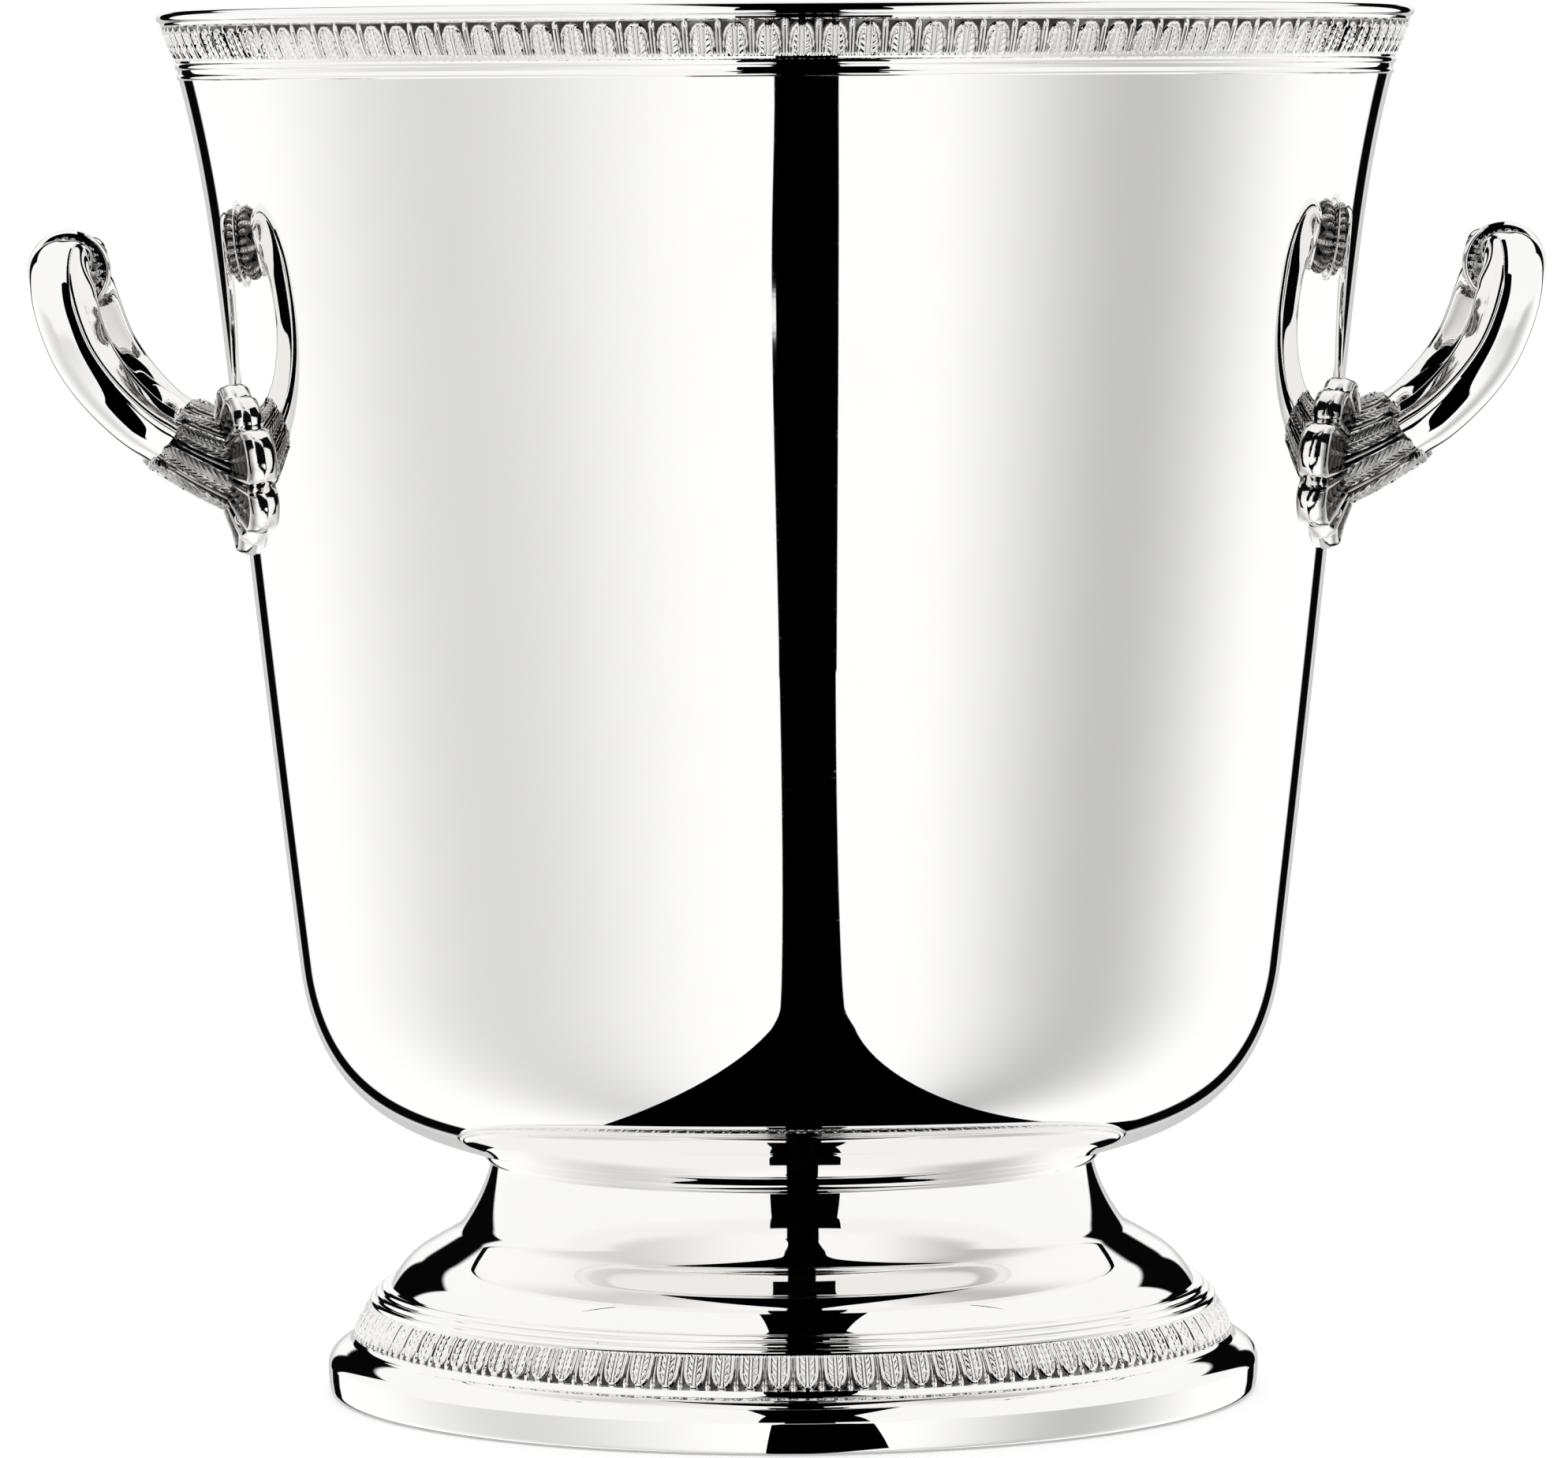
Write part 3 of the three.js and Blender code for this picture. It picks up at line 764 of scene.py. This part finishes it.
def grip_parts(prefix, mirror_x):
    share, angle, size, recess = leaf_collar_grid()
    for lateral, where in ((-1, "front"), (1, "rear")):
        along = lateral * (COLLAR_START + COLLAR_LENGTH * share)
        grid = np.stack(
            [
                mirror_x * (GRIP[0] + size * np.cos(angle)),
                along + 0 * angle,
                GRIP[2] + size * np.sin(angle),
            ],
            2,
        )
        collar = skin(f"{prefix}_{where}_leaf_collar", grid, sharp=60, recess=recess)
        place(collar, chased, "cast_silver", f"{prefix}_{where}_leaf_collar")
    steps = 96
    turn = (np.arange(steps) / steps * TAU)[None, :]

    def turned_on_grip(name, profile, wrap):
        profile = np.array(profile, float)
        grid = np.stack(
            [
                mirror_x * (GRIP[0] + profile[:, 0, None] * np.cos(turn)),
                profile[:, 1, None] + 0 * turn,
                GRIP[2] + profile[:, 0, None] * np.sin(turn),
            ],
            2,
        )
        return skin(name, grid, wrap=wrap, sharp=40)

    rod_profile = [[GRIP_BAR_RADIUS, y] for y in np.linspace(-GRIP_BAR_HALF, GRIP_BAR_HALF, 31)]
    rod = turned_on_grip(f"{prefix}_grip_bar", rod_profile, False)
    place(rod, handle_silver, "polished_silver", f"{prefix}_grip_bar")
    disc_profile = join(
        [[DISC_BORE, -DISC_HALF], [DISC_FACE_RADIUS, -DISC_HALF]],
        arc([DISC_RADIUS, 0.0], DISC_HALF, -90, 90, 12),
        [[DISC_FACE_RADIUS, DISC_HALF], [DISC_BORE, DISC_HALF]],
    )
    disc = turned_on_grip(f"{prefix}_grip_disc", disc_profile, True)
    place(disc, handle_silver, "polished_silver", f"{prefix}_grip_disc")


def mirrored(obj, name, mirror_x, mirror_y):
    """A copy of a right front piece for another corner."""
    mesh = obj.data.copy()
    mesh.materials.clear()
    co = np.zeros(len(mesh.vertices) * 3, np.float32)
    mesh.vertices.foreach_get("co", co)
    co = co.reshape(-1, 3) * np.array([mirror_x, mirror_y, 1], np.float32)
    mesh.vertices.foreach_set("co", co.ravel())
    if mirror_x * mirror_y < 0:
        mesh.flip_normals()
    mesh.update()
    copy = bpy.data.objects.new(name, mesh)
    mesh.name = name
    bpy.context.scene.collection.objects.link(copy)
    return copy


arm_path = spline([[x, -y, z] for x, y, z in ARM_POINTS], 130)
arm_start = arm_path[0]
arm_direction = arm_path[1] - arm_path[0]
arm_direction = arm_direction / np.linalg.norm(arm_direction)
calyx_end = arm_start + arm_direction * CALYX_PAST_ARM_START
bend_point = calyx_end - arm_direction * CALYX_BEND
t = np.linspace(0, 1, 121)[:, None]
calyx_path = (1 - t) ** 2 * CALYX_ROOT + 2 * (1 - t) * t * bend_point + t**2 * calyx_end

front_right = {
    "arm": (
        sweep("right_front_arm", arm_path, arm_radius, 128, hub=FLAT_FACES),
        handle_silver,
        "polished_silver",
    ),
    "calyx": (
        sweep("right_front_calyx", calyx_path, calyx_radius, 288, recess=calyx_recess, sharp=70),
        chased,
        "cast_silver",
    ),
    "palmette_plate": (palmette_plate("right_front_palmette_plate"), chased, "cast_silver"),
}
for part, (obj, material, slot) in front_right.items():
    for side, mirror_x in (("right", 1), ("left", -1)):
        for where, mirror_y in (("front", 1), ("rear", -1)):
            piece_name = f"{side}_{where}_{part}"
            piece = obj
            if (mirror_x, mirror_y) != (1, 1):
                piece = mirrored(obj, piece_name, mirror_x, mirror_y)
            place(piece, material, slot, piece_name)
grip_parts("right", 1)
grip_parts("left", -1)

# ---- floor and light ----
REFLECTANCE = 0.94
DARK = (0.002, 0.002, 0.002, 1)
LIGHT_ON_FLOOR = (1.5, 1.5, 1.5, 1)
# Directions are in degrees: azimuth 0 is towards the front, positive to the right, 180 behind the bucket.
# Soft grey shades in a white studio: azimuth of the middle, half width, depth from 0 to 1.
LEFT_SHADE = (-70, 60, 0.3)
RIGHT_SHADE = (74, 50, 0.45)
BACK_SHADE_STARTS, BACK_SHADE_FULL, BACK_SHADE_DEPTH = 156, 168, 0.42
OVERHEAD_STARTS, OVERHEAD_FULL = -2, 6
# A dark arch low behind the bucket. Its sides lean forward with height, and a pale sheet hangs in it.
ARCH_SIDE, ARCH_LEAN, ARCH_LEAN_FROM, ARCH_SOFTNESS = 150.0, 0.65, -5.0, 0.8
ARCH_TOP_STARTS, ARCH_TOP_ENDS = 23.5, 25.5
SHEET_SIDE_STARTS, SHEET_SIDE_FULL = 162.0, 164.0
SHEET_EDGE_STARTS, SHEET_EDGE_ENDS = 11.0, 13.0

world = bpy.data.worlds.new("studio")
bpy.context.scene.world = world
world.use_nodes = True
w = Nodes(world.node_tree)
direction = w.add("ShaderNodeTexCoord").outputs["Generated"]
dx, dy, dz = w.add("ShaderNodeSeparateXYZ", {0: direction}).outputs
azimuth = w.math("MULTIPLY", w.math("ARCTAN2", dx, w.math("MULTIPLY", dy, -1.0)), 180 / math.pi)
elevation = w.math("MULTIPLY", w.math("ARCSINE", dz), 180 / math.pi)
side = w.math("ABSOLUTE", azimuth)


def rest_of(value):
    """1 minus a value."""
    return w.math("SUBTRACT", 1.0, value)


def shade(middle, half, depth):
    """How much light one soft shade takes away, by azimuth."""
    away = w.math("ABSOLUTE", w.math("SUBTRACT", azimuth, middle))
    return w.math("MULTIPLY", w.step(away, half, 0.0), depth)


def mix(factor, first, second):
    """From the first colour to the second."""
    node = w.add("ShaderNodeMix", {"Factor": factor, "A": first, "B": second}, data_type="RGBA")
    return node.outputs["Result"]


arch_edge = w.math("MULTIPLY_ADD", w.math("MAXIMUM", elevation, ARCH_LEAN_FROM), -ARCH_LEAN, ARCH_SIDE)
arch_starts = w.math("SUBTRACT", arch_edge, ARCH_SOFTNESS)
arch_full = w.math("ADD", arch_edge, ARCH_SOFTNESS)
below_arch_top = rest_of(w.step(elevation, ARCH_TOP_STARTS, ARCH_TOP_ENDS))
below_sheet_edge = rest_of(w.step(elevation, SHEET_EDGE_STARTS, SHEET_EDGE_ENDS))
sheet = w.math("MULTIPLY", w.step(side, SHEET_SIDE_STARTS, SHEET_SIDE_FULL), below_sheet_edge)
arch = w.math("MULTIPLY", w.step(side, arch_starts, arch_full), below_arch_top)
arch = w.math("MULTIPLY", arch, rest_of(sheet))

back_shade = w.math("MULTIPLY", w.step(side, BACK_SHADE_STARTS, BACK_SHADE_FULL), BACK_SHADE_DEPTH)
shades = w.math("ADD", w.math("ADD", shade(*LEFT_SHADE), shade(*RIGHT_SHADE)), back_shade)
level = w.math("MULTIPLY", rest_of(shades), 1 / REFLECTANCE)
panel = w.add("ShaderNodeCombineColor", {0: level, 1: level, 2: level}).outputs[0]
lit = mix(w.step(elevation, OVERHEAD_STARTS, OVERHEAD_FULL), panel, WHITE)
studio = mix(arch, lit, DARK)
ray = w.add("ShaderNodeLightPath")
white_to_camera = mix(ray.outputs["Is Camera Ray"], studio, WHITE)
light = mix(ray.outputs["Is Diffuse Ray"], white_to_camera, LIGHT_ON_FLOOR)
background = w.add("ShaderNodeBackground", {"Color": light, "Strength": 1.0})
w.add("ShaderNodeOutputWorld", {"Surface": background.outputs[0]})

FLOOR_HALF = 3.0
FLOOR_GAP = 0.0002
floor_mesh = bpy.data.meshes.new("floor")
floor_corners = [(x * FLOOR_HALF, y * FLOOR_HALF, 0) for x, y in ((-1, -1), (1, -1), (1, 1), (-1, 1))]
floor_mesh.from_pydata(floor_corners, [], [(0, 1, 2, 3)])
floor = bpy.data.objects.new("floor", floor_mesh)
bpy.context.scene.collection.objects.link(floor)
floor.location.z = cad_low.z - FLOOR_GAP
floor_material = bpy.data.materials.new("floor_paper")
floor_material.use_nodes = True
f = Nodes(floor_material.node_tree)
paper = f.add("ShaderNodeBsdfDiffuse", {"Color": (0.98, 0.98, 0.98, 1)})
f.add("ShaderNodeOutputMaterial", {"Surface": paper.outputs[0]})
floor_mesh.materials.append(floor_material)
floor.visible_glossy = False

# ---- black cards, in millimetres ----
card_material = bpy.data.materials.new("black_card")
card_material.use_nodes = True
g = Nodes(card_material.node_tree)
black = g.add("ShaderNodeEmission", {"Color": (0, 0, 0, 1)})
clear = g.add("ShaderNodeBsdfTransparent")
from_behind = g.add("ShaderNodeNewGeometry").outputs["Backfacing"]
one_sided = g.add("ShaderNodeMixShader", {0: from_behind, 1: black.outputs[0], 2: clear.outputs[0]})
g.add("ShaderNodeOutputMaterial", {"Surface": one_sided.outputs[0]})


def black_card(name, corners):
    """A card that only reflections see, black from its front and clear from behind.
    The corners run anticlockwise as seen from the front."""
    mesh = bpy.data.meshes.new(name)
    points = [tuple(c * MM for c in corner) for corner in corners]
    mesh.from_pydata(points, [], [tuple(range(len(corners)))])
    card = bpy.data.objects.new(name, mesh)
    bpy.context.scene.collection.objects.link(card)
    mesh.materials.append(card_material)
    card.visible_camera = False
    card.visible_diffuse = False
    card.visible_shadow = False
    card.visible_transmission = False


def slot_card(name, across, heights):
    """An upright card in front of the bucket, facing it."""
    (left, right), (low, high) = across, heights
    black_card(name, [(left, SLOT_Y, low), (left, SLOT_Y, high), (right, SLOT_Y, high), (right, SLOT_Y, low)])


# The strip leans a little to the right. It is narrowest at its waist, and opens towards the bucket and
# away from it.
CARD_Z = 6.5
STRIP_LEFT_NEAR, STRIP_LEFT_WAIST, STRIP_LEFT_FAR = (-62, 20), (-14, -210), (-38, -780)
STRIP_RIGHT_NEAR, STRIP_RIGHT_WAIST, STRIP_RIGHT_FAR = (88, 20), (45, -210), (126, -780)
strip_outline = join(
    bezier(STRIP_LEFT_NEAR, (-60, -66), (-32, -100), STRIP_LEFT_WAIST, 24),
    bezier(STRIP_LEFT_WAIST, (-5, -290), (-6, -420), STRIP_LEFT_FAR, 24),
    bezier(STRIP_RIGHT_FAR, (72, -460), (49, -300), STRIP_RIGHT_WAIST, 24),
    bezier(STRIP_RIGHT_WAIST, (30, -95), (66, -60), STRIP_RIGHT_NEAR, 24),
)
black_card("table_card", [(x, y, CARD_Z) for x, y in strip_outline])

# Two small cards on the table, under the strip, for what the base ring reflects.
NEAR_Z = 0.1
NEAR_OUTLINE = [
    (-6.5, -112), (-6, -118), (-3, -121), (21, -121), (24, -118), (24.5, -112), (16, -78.6), (-4.5, -78.6),
]
NEAR_STRIP_OUTLINE = [(-6, -121), (-8, -200), (32, -200), (22, -121)]
black_card("near_card", [(x, y, NEAR_Z) for x, y in NEAR_OUTLINE])
black_card("near_strip", [(x, y, NEAR_Z) for x, y in NEAR_STRIP_OUTLINE])

# A dark slot in front of the bucket, narrower below, with a dark strip of ceiling over the bucket.
SLOT_Y = -500
SLOT_ACROSS, SLOT_LOW_ACROSS = (-70, 156), (-17, 82)
SLOT_BOTTOM, SLOT_WIDENS, SLOT_TOP = 7, 100, 560
CEILING_BACK = 200
slot_card("slot_low", SLOT_LOW_ACROSS, (SLOT_BOTTOM, SLOT_WIDENS))
slot_card("slot_front", SLOT_ACROSS, (SLOT_WIDENS, SLOT_TOP))
left, right = SLOT_ACROSS
ceiling = [(left, SLOT_Y), (left, CEILING_BACK), (right, CEILING_BACK), (right, SLOT_Y)]
black_card("slot_top", [(x, y, SLOT_TOP) for x, y in ceiling])

# One card in front of each handle.
HANDLE_CARD_Y = -64
HANDLE_CARD_OUTLINE = [(104, 118), (104, 172), (92, 182), (104, 250), (162, 250), (120, 118)]
for side_name, mirror in (("right", 1), ("left", -1)):
    corners = [(x * mirror, HANDLE_CARD_Y, z) for x, z in HANDLE_CARD_OUTLINE]
    black_card(f"{side_name}_handle_card", corners if mirror > 0 else corners[::-1])

# ---- camera ----
CAMERA_HEIGHT = 0.2212
CAMERA_AWAY = 1.5109
LENS = 203.9
SENSOR_WIDTH = 36.0
AIM_X = -0.0006
PITCH = math.radians(4.107)
ROLL = math.radians(0.35)
camera_data = bpy.data.cameras.new("camera")
camera = bpy.data.objects.new("camera", camera_data)
bpy.context.scene.collection.objects.link(camera)
bpy.context.scene.camera = camera
camera_data.sensor_width = SENSOR_WIDTH
camera_data.lens = LENS
camera.location = (0.0, -CAMERA_AWAY, CAMERA_HEIGHT)
aim = Vector((AIM_X, math.cos(PITCH), -math.sin(PITCH)))
camera.rotation_mode = "QUATERNION"
camera.rotation_quaternion = aim.to_track_quat("-Z", "Y") @ Quaternion((0, 0, 1), -ROLL)
bpy.context.scene.view_settings.view_transform = "Standard"
